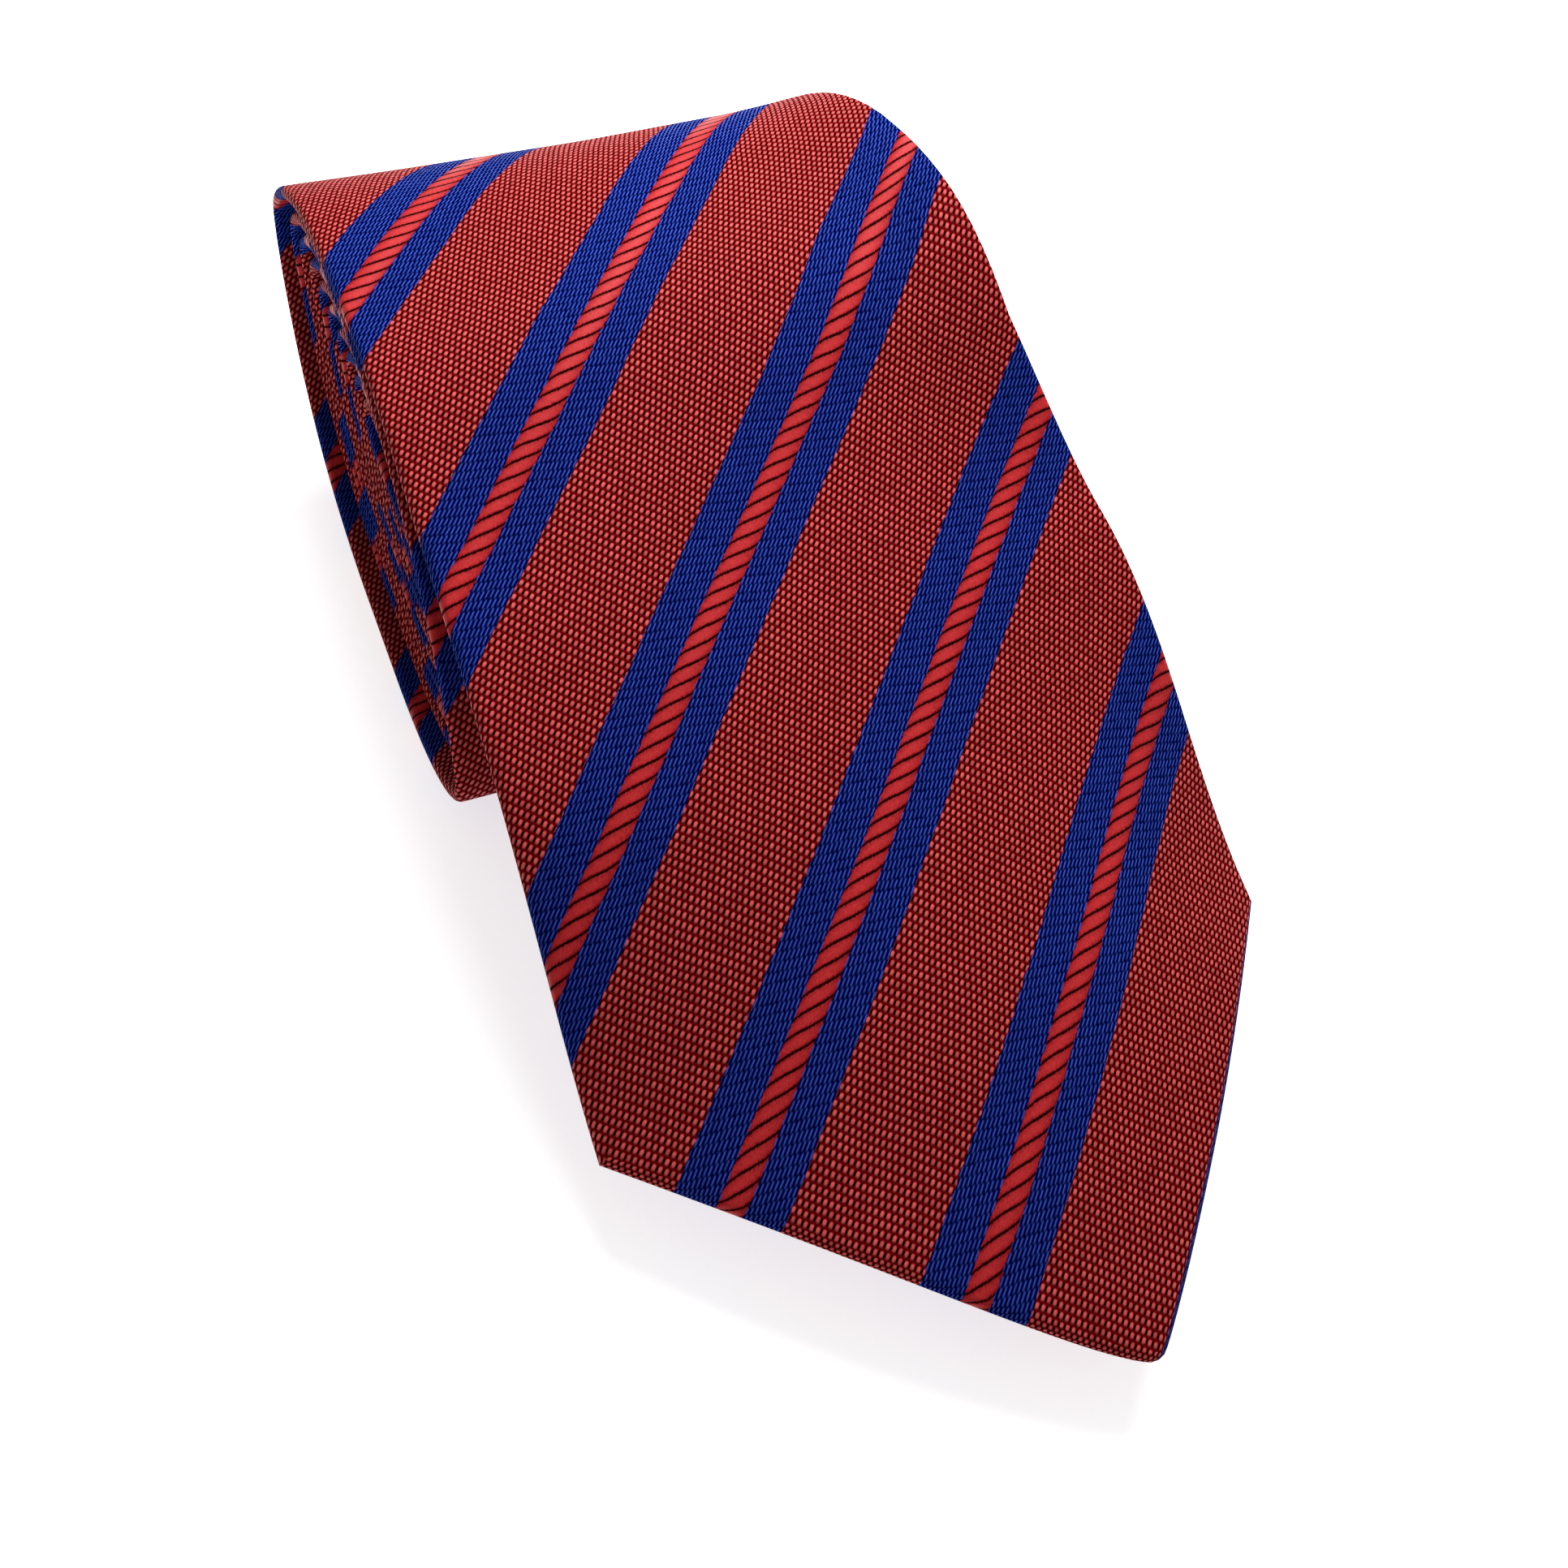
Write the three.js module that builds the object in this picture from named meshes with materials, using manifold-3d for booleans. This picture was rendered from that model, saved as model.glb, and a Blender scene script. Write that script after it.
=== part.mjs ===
// A necktie put away for sale or for a drawer: rolled up from its narrow tail, with the front blade left
// lying forward over the roll. Millimetres, +Z up, X along the roll's axis, -Y towards the front tip.
//
// Every piece is described on the flat tie first. Its two coordinates there are p, the distance along the
// tie from the front tip, and x, the distance across from the left edge. A third, n, is the height above the
// middle of the tie's thickness, towards its face side. place() then carries a point onto the sloping front
// blade or round the roll.
import * as THREE from "three";
import { mergeVertices } from "three/addons/utils/BufferGeometryUtils.js";
import Module from "manifold-3d";

const wasm = await Module();
wasm.setup();

// The tie laid flat.
const TIE_LENGTH = 1450;
const LEFT_HALF = 44.3; // the front blade's width on each side of its tip
const RIGHT_HALF = 42.7;
const NECK_WIDTH = 36;
const TAPER_LENGTH = 400;
const TAPER_STEPS = 5;
const TAIL_WIDTH = 47;
const TAIL_FLARE_START = 950;
const NARROWEST = 1;
const SKEW = THREE.MathUtils.degToRad(4.65); // rolled with its left edges in line, the tie runs askew
const FRONT_PANEL_END = 700;
const NECK_PANEL_END = 1010;
const INTERLINING_JOIN = 760;
const INTERLINING_FROM_END = 5;
const SEAM_GAP = 0.3;

// Thickness, in layers of cloth.
const SILK = 0.4;
const CLEARANCE = 0.15;
const INTERLINING = 0.6;
const LINING = 0.25;
const SIDE_WALL = 2 * SILK;
const HALF_ROLL = SILK + CLEARANCE + INTERLINING / 2;
const LAP_TOP = HALF_ROLL;
const LAP_BOTTOM = -HALF_ROLL - LINING - CLEARANCE;

// The roll, as seen along its axis: an oval with a flat top and bottom, given by its support function.
const ROLL_HEIGHT = 46.5;
const ROLL_LENGTH = 92;
const FLAT = 14;
const OVAL_TILT = THREE.MathUtils.degToRad(13.5);
const MEAN_RADIUS = (ROLL_HEIGHT + ROLL_LENGTH - FLAT) / 4;
const OVAL = (ROLL_LENGTH - FLAT - ROLL_HEIGHT) / 4 / Math.cos(2 * OVAL_TILT);
const TIGHTEST_BEND = 2;
const LAYER_GAP = 0.2;
const LOOSE_FIRST_TURN = 1;
const STEP = THREE.MathUtils.degToRad(12);
const NEAREST_STATION = 0.4;
const LEFT_RECESS_PER_TURN = 0.4;
const LEFT_BULGE = { size: 2, start: 150, full: 230, fade: 270, end: 380 };
const SHOULDER = { size: 8.5, power: 2.1, start: 97, peak: 144, end: 192 };
const HUMP = { size: 1.3, width: 13 };

// The front blade that lies over the roll.
const LAP_SLOPE = THREE.MathUtils.degToRad(16);
const LAP_LENGTH = 123;
const LAP_JOINT_GAP = 0.5;
const CROWN = 10;
const CROWN_LEAN = 0.3;
const CROWN_FULL = 45;
const CROWN_GONE = 94;
const MESH_STEP = 5.5;

// Small pieces.
const HEM = 12;
const FLAP_MEETING = 95;
const KITE_HALF_WIDTH = 30;
const TIPPING_INSET = 1.6;
const TACK = { width: 9, length: 1.4, height: 0.4, past: 1 };
const KEEPER = { start: 196, length: 13, width: 52, height: 0.4 };
const LABEL = { start: 101, length: 14, width: 24, height: 0.25, middle: -14 };
const STITCH = { width: 0.7, height: 0.3, past: 2, shortfall: 4 };
const TAIL_TIPPING = { start: TIE_LENGTH - 38, end: TIE_LENGTH - 4, inset: 3 };
const TAIL_TACK_START = TIE_LENGTH - 41;
const TAIL_END_WALL = 3;
const OVERCUT = 2; // how far a cutting solid reaches past the one that it cuts

const COLOUR = {
  cloth: { color: 0xa3202c, roughness: 0.55, metalness: 0 },
  interlining: { color: 0xe9e4d8, roughness: 0.95, metalness: 0 },
  lining: { color: 0x1d2f8c, roughness: 0.45, metalness: 0 },
  thread: { color: 0x8f1420, roughness: 0.7, metalness: 0 },
  label: { color: 0x20243a, roughness: 0.6, metalness: 0 },
};

function clamp01(value) {
  return Math.min(Math.max(value, 0), 1);
}

function smoothFall(value, full, gone) {
  const k = clamp01((gone - value) / (gone - full));
  return k * k * (3 - 2 * k);
}

// ---- the flat tie ----

// Turns a point of the cloth's own axes, s along the tie and t across it, into p and x.
function fromCloth(s, t) {
  const c = Math.cos(SKEW);
  const d = Math.sin(SKEW);
  return { x: LEFT_HALF * (c + d) + t * c - s * d, p: s * c + t * d };
}

function toCloth(x, p) {
  const c = Math.cos(SKEW);
  const d = Math.sin(SKEW);
  const across = x - LEFT_HALF * (c + d);
  return { s: p * c - across * d, t: across * c + p * d };
}

const RIGHT_CORNER = fromCloth(RIGHT_HALF, RIGHT_HALF);

function rightEdge(p) {
  const front = (RIGHT_CORNER.x - NECK_WIDTH) * Math.exp(-(p - RIGHT_CORNER.p) / TAPER_LENGTH);
  const flare = 1 - smoothFall(p, TAIL_FLARE_START, TIE_LENGTH);
  return NECK_WIDTH + front + (TAIL_WIDTH - NECK_WIDTH) * flare;
}

function leftEdge(p) {
  const turns = Math.max(p - LAP_LENGTH, 0) / (2 * Math.PI * MEAN_RADIUS);
  const { size, start, full, fade, end } = LEFT_BULGE;
  const bulge = size * (1 - smoothFall(p, start, full)) * smoothFall(p, fade, end);
  return LEFT_RECESS_PER_TURN * turns - bulge;
}

// ---- the path that the tie follows, seen from its left edge ----

// How much of the oval is left in a turn of mean radius c: inner turns are rounder.
function ovalShare(c) {
  return Math.min(1, (c - TIGHTEST_BEND) / (3 * OVAL));
}

// The drop in mean radius per radian that keeps the layers one thickness and one gap apart.
function radiusDropPerRadian(c, turn) {
  const pitch = 2 * HALF_ROLL + LAYER_GAP + (turn < 1 ? LOOSE_FIRST_TURN : 0);
  const flattest = ovalShare(c) < 1 ? 1 - Math.cos(2 * OVAL_TILT) / 3 : 1;
  return pitch / flattest / (2 * Math.PI);
}

const CENTRE_Z = ROLL_HEIGHT / 2;

// A list of stations round the roll. Each has p, a point of the middle surface and its outward normal.
function rollStations() {
  const start = Math.PI / 2 + LAP_SLOPE;
  const stations = [];
  let c = MEAN_RADIUS - HALF_ROLL;
  let p = LAP_LENGTH;
  let last = null;
  const push = (angle, side) => {
    const drop = radiusDropPerRadian(c, (start - angle) / (2 * Math.PI));
    const a = OVAL * ovalShare(c);
    const h = c + a * Math.cos(2 * (angle - OVAL_TILT));
    const slope = drop - 2 * a * Math.sin(2 * (angle - OVAL_TILT));
    const ny = Math.cos(angle);
    const nz = Math.sin(angle);
    const y = h * ny - slope * nz + (side * FLAT) / 2;
    const z = h * nz + slope * ny + CENTRE_Z;
    if (last) p += Math.hypot(y - last.y, z - last.z);
    last = { p, y, z, ny, nz };
    stations.push(last);
  };
  push(start, -1);
  let previous = start;
  let angle = Math.PI / 2;
  for (let half = 0; p < TIE_LENGTH; half++) {
    const side = half % 2 === 0 ? 1 : -1;
    if (half === 0) push(angle, -side);
    for (let k = 0; k <= Math.round(Math.PI / STEP) && p < TIE_LENGTH; k++) {
      const at = angle - k * STEP;
      c -= radiusDropPerRadian(c, (start - at) / (2 * Math.PI)) * (previous - at);
      previous = at;
      push(at, side);
    }
    angle -= Math.PI;
  }
  return stations;
}

const STATIONS = rollStations();
const LAP_END = STATIONS[0];

// The middle surface and its normal at a distance p from the tip.
function along(p) {
  if (p <= LAP_LENGTH) {
    const back = LAP_LENGTH - p;
    const ny = -Math.sin(LAP_SLOPE);
    const nz = Math.cos(LAP_SLOPE);
    return { y: LAP_END.y - back * nz, z: LAP_END.z + back * ny, ny, nz };
  }
  const i = STATIONS.findIndex((station) => station.p >= p);
  const b = STATIONS[i];
  const a = STATIONS[i - 1];
  const k = (p - a.p) / (b.p - a.p);
  const mix = (key) => a[key] + k * (b[key] - a[key]);
  return { y: mix("y"), z: mix("z"), ny: mix("ny"), nz: mix("nz") };
}

// The front blade is arched across its width near the tip, and leans down to the right.
function arch(x, p) {
  const { s, t } = toCloth(x, p);
  const share = t / LEFT_HALF;
  return -(CROWN * share * share + CROWN_LEAN * share) * smoothFall(s, CROWN_FULL, CROWN_GONE);
}

// Over the ridge the tie stands off the turn below, more and more towards its right edge.
function shoulder(x, p) {
  const { size, power, start, peak, end } = SHOULDER;
  const share = clamp01(x / rightEdge(p)) ** power;
  const rise = size * share + HUMP.size * smoothFall(rightEdge(p) - x, 0, HUMP.width);
  return rise * (1 - smoothFall(p, start, peak)) * smoothFall(p, peak, end);
}

function place(x, p, n) {
  const at = along(p);
  const height = n + (p < LAP_LENGTH ? arch(x, p) : 0) + shoulder(x, p);
  return [x, at.y + height * at.ny, at.z + height * at.nz];
}

// ---- solids ----

function manifoldOf(positions, triangles) {
  return new wasm.Manifold(
    new wasm.Mesh({
      numProp: 3,
      vertProperties: new Float32Array(positions.flat()),
      triVerts: new Uint32Array(triangles.flat()),
    }),
  );
}

// A strip swept round the roll. section(p) gives its loop of [x, n] points, the same number at each station.
function sweep(from, to, section) {
  const inner = STATIONS.map((station) => station.p).filter(
    (p) => p > from + NEAREST_STATION && p < to - NEAREST_STATION,
  );
  const stops = [from, ...inner, to];
  const loops = stops.map((p) => section(p).map(([x, n]) => place(x, p, n)));
  const size = loops[0].length;
  const triangles = [];
  for (let i = 0; i + 1 < loops.length; i++) {
    for (let j = 0; j < size; j++) {
      const a = i * size + j;
      const b = i * size + ((j + 1) % size);
      triangles.push([a, b + size, b], [a, a + size, b + size]);
    }
  }
  const end = (loops.length - 1) * size;
  for (let j = 1; j + 1 < size; j++) {
    triangles.push([0, j, j + 1], [end, end + j + 1, end + j]);
  }
  return manifoldOf(loops.flat(), triangles);
}

function roundedStrip(left, right, bottom, top) {
  const round = (top - bottom) / 2;
  const middle = (top + bottom) / 2;
  return [
    [left, middle],
    [left + round, bottom],
    [right - round, bottom],
    [right, middle],
    [right - round, top],
    [left + round, top],
  ];
}

function flatStrip(left, right, bottom, top) {
  return [
    [left, bottom],
    [right, bottom],
    [right, top],
    [left, top],
  ];
}

// The tail end comes to a right-angled point, and its pieces keep the given distance inside its edges.
function edges(p, inset) {
  const middle = (leftEdge(p) + rightEdge(p)) / 2;
  const half = (rightEdge(p) - leftEdge(p)) / 2 - inset;
  const point = TIE_LENGTH - inset * Math.SQRT2 - p;
  const share = Math.max(Math.min(half, point), NARROWEST);
  return [middle - share, middle + share];
}

// A panel of the cloth tube, hollow along its whole length.
function rolledShell(from, to, closedEnd = 0) {
  const outer = sweep(from, to, (p) => roundedStrip(...edges(p, 0), -HALF_ROLL, HALF_ROLL));
  const core = sweep(from - OVERCUT, closedEnd ? to - closedEnd : to + OVERCUT, (p) =>
    flatStrip(...edges(p, SIDE_WALL), -HALF_ROLL + SILK, HALF_ROLL - SILK),
  );
  return outer.subtract(core);
}

function rolledStrip(from, to, inset, bottom, top) {
  return sweep(from, to, (p) => flatStrip(...edges(p, inset), bottom, top));
}

// A flat outline raised between two heights, cut into small triangles and laid onto the front blade.
function onBlade(outline, bottom, top) {
  const shape = new THREE.Shape(outline.map(([x, p]) => new THREE.Vector2(x, p)));
  const geometry = new THREE.ExtrudeGeometry(shape, { depth: top - bottom, bevelEnabled: false });
  geometry.translate(0, 0, bottom);
  geometry.deleteAttribute("normal");
  geometry.deleteAttribute("uv");
  const merged = mergeVertices(geometry, 1e-4);
  return new wasm.Manifold(
    new wasm.Mesh({
      numProp: 3,
      vertProperties: new Float32Array(merged.attributes.position.array),
      triVerts: new Uint32Array(merged.index.array),
    }),
  );
}

function layOnBlade(solid) {
  return solid.refineToLength(MESH_STEP).warp((v) => {
    const [x, y, z] = place(v[0], v[1], v[2]);
    v[0] = x;
    v[1] = y;
    v[2] = z;
  });
}

// The outline of the front blade's free part, kept a distance inside its edges, up to p = end.
function bladeOutline(inset, end) {
  const pointInset = inset * Math.SQRT2;
  const tip = fromCloth(pointInset, 0);
  const left = fromCloth(LEFT_HALF - inset + pointInset, inset - LEFT_HALF);
  const right = fromCloth(RIGHT_HALF - inset + pointInset, RIGHT_HALF - inset);
  const outline = [
    [tip.x, tip.p],
    [right.x, right.p],
  ];
  for (let i = 1; i <= TAPER_STEPS; i++) {
    const p = right.p + ((end - right.p) * i) / TAPER_STEPS;
    outline.push([rightEdge(p) - inset, p]);
  }
  outline.push([inset, end], [left.x, left.p]);
  return outline;
}

// The opening between the folded hems and the two back flaps, where the tipping shows.
function backOpening() {
  const foot = HEM * Math.SQRT2;
  return [
    [foot, 0],
    [foot + KITE_HALF_WIDTH, KITE_HALF_WIDTH],
    [FLAP_MEETING, 0],
    [foot + KITE_HALF_WIDTH, -KITE_HALF_WIDTH],
  ].map(([s, t]) => {
    const at = fromCloth(s, t);
    return [at.x, at.p];
  });
}

function rectangleOnCloth(s, t, length, width) {
  return [
    [s, t - width / 2],
    [s, t + width / 2],
    [s + length, t + width / 2],
    [s + length, t - width / 2],
  ].map(([alongTie, across]) => {
    const at = fromCloth(alongTie, across);
    return [at.x, at.p];
  });
}

const INTERLINING_INSET = SIDE_WALL + CLEARANCE;
const LAP_STOP = LAP_LENGTH - LAP_JOINT_GAP;
const BACK_WALL_TOP = LAP_BOTTOM + SILK;

function frontBladeLap() {
  const body = onBlade(bladeOutline(0, LAP_STOP), LAP_BOTTOM, LAP_TOP);
  const hollow = onBlade(bladeOutline(SIDE_WALL, LAP_STOP + OVERCUT), BACK_WALL_TOP, LAP_TOP - SILK);
  const opening = onBlade(backOpening(), LAP_BOTTOM - OVERCUT, BACK_WALL_TOP + CLEARANCE / 2);
  return layOnBlade(body.subtract(hollow).subtract(opening));
}

function interliningLap() {
  const top = LAP_TOP - SILK - CLEARANCE;
  return layOnBlade(onBlade(bladeOutline(INTERLINING_INSET, LAP_STOP), top - INTERLINING, top));
}

function frontTipping() {
  const top = LAP_TOP - SILK - 2 * CLEARANCE - INTERLINING;
  const outline = bladeOutline(TIPPING_INSET, FLAP_MEETING);
  return layOnBlade(onBlade(outline, top - LINING + CLEARANCE / 2, top));
}

const UNDER_BLADE = LAP_BOTTOM - CLEARANCE;
const UNDER_ROLL = -HALF_ROLL - CLEARANCE;

function frontBarTack() {
  const outline = rectangleOnCloth(FLAP_MEETING + TACK.past, 0, TACK.length, TACK.width);
  return layOnBlade(onBlade(outline, UNDER_BLADE - TACK.height, UNDER_BLADE));
}

function careLabel() {
  const outline = rectangleOnCloth(LABEL.start, LABEL.middle, LABEL.length, LABEL.width);
  return layOnBlade(onBlade(outline, UNDER_BLADE - LABEL.height, UNDER_BLADE));
}

function slipStitch() {
  const start = FLAP_MEETING + TACK.length + STITCH.past;
  const outline = rectangleOnCloth(start, 0, LAP_STOP - start - STITCH.shortfall, STITCH.width);
  return layOnBlade(onBlade(outline, UNDER_BLADE - STITCH.height, UNDER_BLADE));
}

// A small piece across the middle of the rolled tie's back.
function underRoll(start, { length, width, height }) {
  return sweep(start, start + length, (p) => {
    const middle = (leftEdge(p) + rightEdge(p)) / 2;
    return flatStrip(middle - width / 2, middle + width / 2, UNDER_ROLL - height, UNDER_ROLL);
  });
}

function tailTipping() {
  const { start, end, inset } = TAIL_TIPPING;
  return rolledStrip(start, end, inset, UNDER_ROLL - LINING, UNDER_ROLL);
}

// ---- the assembly ----

function meshOf(name, solid, look) {
  const data = solid.getMesh();
  const geometry = new THREE.BufferGeometry();
  geometry.setAttribute("position", new THREE.BufferAttribute(new Float32Array(data.vertProperties), 3));
  geometry.setIndex(new THREE.BufferAttribute(new Uint32Array(data.triVerts), 1));
  geometry.computeVertexNormals();
  const mesh = new THREE.Mesh(geometry, new THREE.MeshStandardMaterial(look));
  mesh.name = name;
  return mesh;
}

// The interlining of a rolled panel.
function innerStrip(from, to) {
  return rolledStrip(from, to, INTERLINING_INSET, -INTERLINING / 2, INTERLINING / 2);
}

const seam = SEAM_GAP / 2;
const interliningEnd = TIE_LENGTH - INTERLINING_FROM_END;

const necktie = new THREE.Group();
necktie.name = "necktie";
necktie.add(
  meshOf("front_blade_lap", frontBladeLap(), COLOUR.cloth),
  meshOf("front_blade_rolled", rolledShell(LAP_LENGTH, FRONT_PANEL_END - seam), COLOUR.cloth),
  meshOf("neck_band", rolledShell(FRONT_PANEL_END + seam, NECK_PANEL_END - seam), COLOUR.cloth),
  meshOf("tail_blade", rolledShell(NECK_PANEL_END + seam, TIE_LENGTH, TAIL_END_WALL), COLOUR.cloth),
  meshOf("interlining_lap", interliningLap(), COLOUR.interlining),
  meshOf("interlining_front", innerStrip(LAP_LENGTH, INTERLINING_JOIN), COLOUR.interlining),
  meshOf("interlining_tail", innerStrip(INTERLINING_JOIN + SEAM_GAP, interliningEnd), COLOUR.interlining),
  meshOf("front_tipping", frontTipping(), COLOUR.lining),
  meshOf("tail_tipping", tailTipping(), COLOUR.lining),
  meshOf("keeper_loop", underRoll(KEEPER.start, KEEPER), COLOUR.cloth),
  meshOf("care_label", careLabel(), COLOUR.label),
  meshOf("front_bar_tack", frontBarTack(), COLOUR.thread),
  meshOf("tail_bar_tack", underRoll(TAIL_TACK_START, TACK), COLOUR.thread),
  meshOf("slip_stitch", slipStitch(), COLOUR.thread),
);

// The origin is under the middle of the whole tie, on the surface that it lies on.
const box = new THREE.Box3().setFromObject(necktie);
const middle = box.getCenter(new THREE.Vector3());
necktie.position.set(-middle.x, -middle.y, -box.min.z);

export default necktie;
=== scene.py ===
"""Looks of a striped necktie rolled up from its narrow tail, its front blade lying forward over the roll.

Every piece is described on the flat tie first, in millimetres: p is the distance along the tie from the
front tip, x the distance across from the left edge, and n the height above the middle of the tie's
thickness. place() carries that onto the sloping front blade or round the roll. s and t are the cloth's own
axes, along the tie and across it, which lie askew to p and x.
"""
import math

import bpy
import numpy as np
from mathutils import Matrix, Vector


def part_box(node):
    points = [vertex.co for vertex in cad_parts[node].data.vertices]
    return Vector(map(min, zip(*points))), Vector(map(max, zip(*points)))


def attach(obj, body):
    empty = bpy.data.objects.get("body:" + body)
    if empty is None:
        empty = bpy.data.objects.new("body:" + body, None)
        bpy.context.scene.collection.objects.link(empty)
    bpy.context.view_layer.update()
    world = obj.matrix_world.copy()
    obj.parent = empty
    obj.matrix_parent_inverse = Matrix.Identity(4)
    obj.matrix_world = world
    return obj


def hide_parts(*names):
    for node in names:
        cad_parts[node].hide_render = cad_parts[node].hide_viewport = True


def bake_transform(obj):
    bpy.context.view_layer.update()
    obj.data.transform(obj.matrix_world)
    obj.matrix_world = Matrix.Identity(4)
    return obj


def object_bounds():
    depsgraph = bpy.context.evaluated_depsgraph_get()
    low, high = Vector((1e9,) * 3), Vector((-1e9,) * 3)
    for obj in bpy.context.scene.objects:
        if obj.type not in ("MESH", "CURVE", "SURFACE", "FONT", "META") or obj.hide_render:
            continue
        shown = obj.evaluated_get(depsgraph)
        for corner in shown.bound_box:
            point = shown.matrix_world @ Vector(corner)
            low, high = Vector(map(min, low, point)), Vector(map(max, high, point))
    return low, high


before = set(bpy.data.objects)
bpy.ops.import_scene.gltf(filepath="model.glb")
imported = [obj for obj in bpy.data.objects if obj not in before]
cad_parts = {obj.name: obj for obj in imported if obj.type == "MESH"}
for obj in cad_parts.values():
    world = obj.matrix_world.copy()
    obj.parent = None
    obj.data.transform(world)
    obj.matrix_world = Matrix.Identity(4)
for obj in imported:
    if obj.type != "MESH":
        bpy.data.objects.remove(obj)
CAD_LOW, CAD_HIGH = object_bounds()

MM = 0.001

# ---- the tie laid flat ----
TIE_LENGTH = 1450
LEFT_HALF = 44.3
RIGHT_HALF = 42.7
NECK_WIDTH = 36
TAPER_LENGTH = 400
TAIL_WIDTH = 47
TAIL_FLARE_START = 950
SKEW = math.radians(4.65)
FRONT_PANEL_END = 700
NECK_PANEL_END = 1010
SEAM_GAP = 0.3

# ---- thickness ----
HALF_ROLL = 0.85
LAP_TOP = HALF_ROLL
LAP_BOTTOM = -1.25
SILK = 0.35
INTERLINING = 0.6
INTERLINING_JOIN = FRONT_PANEL_END + 60
LINING = 0.2

# ---- the roll and the lap ----
ROLL_HEIGHT = 46.5
ROLL_LENGTH = 92
FLAT = 14
OVAL_TILT = math.radians(13.5)
MEAN_RADIUS = (ROLL_HEIGHT + ROLL_LENGTH - FLAT) / 4
OVAL = (ROLL_LENGTH - FLAT - ROLL_HEIGHT) / 4 / math.cos(2 * OVAL_TILT)
TIGHTEST_BEND = 2
LAYER_GAP = 0.2
LOOSE_FIRST_TURN = 1
LEFT_RECESS_PER_TURN = 0.4
LEFT_BULGE = 2
LEFT_BULGE_RISE = (150, 230)
LEFT_BULGE_FALL = (270, 380)
LAP_SLOPE = math.radians(16)
LAP_LENGTH = 123
CROWN = 10
CROWN_LEAN = 0.3
CROWN_FULL = 45
CROWN_GONE = 94
SHOULDER = 8.5
SHOULDER_POWER = 2.1
HUMP = 1.3
HUMP_WIDTH = 13
SHOULDER_START = 97
SHOULDER_PEAK = 144
SHOULDER_END = 192
RIPPLE_LONG = 0.09
RIPPLE_SHORT = 0.04
TIP_ROUNDING = 0.4
APEX_T = 1.4
APEX_LIFT = 1.0
LIFT_REACH_LEFT = 6
LIFT_REACH_RIGHT = 11
TIP_CROWDING = 1.6
TIP_TAKE_IN = 1.8

# ---- the back of the front blade ----
HEM = 12
FLAP_MEETING = 95
TIPPING_END = FLAP_MEETING + 2
KITE_HALF_WIDTH = 30
FLAP_SPLIT = 85
THINNING = 12
TURNED_EDGE = 0.3
TURNED_WIDTH = 1.2
FLAP_GAP = 0.03
POINT_FOLD_SHARE = 0.98

# ---- how finely the pieces are meshed ----
TURN_STEP = math.radians(3)
RIDGE_STEPS = 6
FLAT_STEPS = 5
LAP_ROWS = 56
TOP_COLUMNS = 44
ARC_STEPS = 8
LEAST_STEP = 0.3
FLAP_STEPS = 8


def smooth(value, low, high):
    """0 below low, 1 above high, and a smooth rise between them."""
    k = np.clip((value - low) / (high - low), 0, 1)
    return k * k * (3 - 2 * k)


# ---- the flat tie ----

def from_cloth(s, t):
    """The place (x, p) on the flat tie of the cloth's own (s, t)."""
    c, d = math.cos(SKEW), math.sin(SKEW)
    return LEFT_HALF * (c + d) + t * c - s * d, s * c + t * d


def to_cloth(x, p):
    """The cloth's own (s, t) at the flat tie's (x, p)."""
    c, d = math.cos(SKEW), math.sin(SKEW)
    across = x - LEFT_HALF * (c + d)
    return p * c - across * d, across * c + p * d


LEFT_CORNER = from_cloth(LEFT_HALF, -LEFT_HALF)
RIGHT_CORNER = from_cloth(RIGHT_HALF, RIGHT_HALF)


def right_edge(p):
    """Where the tie's right edge lies: it narrows from the front to the neck and widens at the tail."""
    front = (RIGHT_CORNER[0] - NECK_WIDTH) * np.exp(-(p - RIGHT_CORNER[1]) / TAPER_LENGTH)
    flare = smooth(p, TAIL_FLARE_START, TIE_LENGTH)
    return NECK_WIDTH + front + (TAIL_WIDTH - NECK_WIDTH) * flare


def left_edge(p):
    """Where the tie's left edge lies: each turn starts a little further in, and the outer one bulges."""
    turns = np.maximum(p - LAP_LENGTH, 0) / (2 * math.pi * MEAN_RADIUS)
    bulge = LEFT_BULGE * smooth(p, *LEFT_BULGE_RISE) * (1 - smooth(p, *LEFT_BULGE_FALL))
    return LEFT_RECESS_PER_TURN * turns - bulge


def edges(p, inset):
    """The left and right edge, a distance inside the tie's own, with the tail's right-angled point."""
    middle = (left_edge(p) + right_edge(p)) / 2
    half = (right_edge(p) - left_edge(p)) / 2 - inset
    share = np.maximum(np.minimum(half, TIE_LENGTH - inset * math.sqrt(2) - p), 1)
    return middle - share, middle + share


# ---- the path that the tie follows, seen from its left edge ----

def oval_share(c):
    """How much of the roll's oval shape a turn of mean radius c keeps: the innermost turns are round."""
    return min(1, (c - TIGHTEST_BEND) / (3 * OVAL))


def radius_drop(c, turn):
    """How much the radius shrinks for each radian, so that a layer clears the one inside it."""
    pitch = 2 * HALF_ROLL + LAYER_GAP + (LOOSE_FIRST_TURN if turn < 1 else 0)
    flattest = 1 - math.cos(2 * OVAL_TILT) / 3 if oval_share(c) < 1 else 1
    return pitch / flattest / (2 * math.pi)


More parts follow.
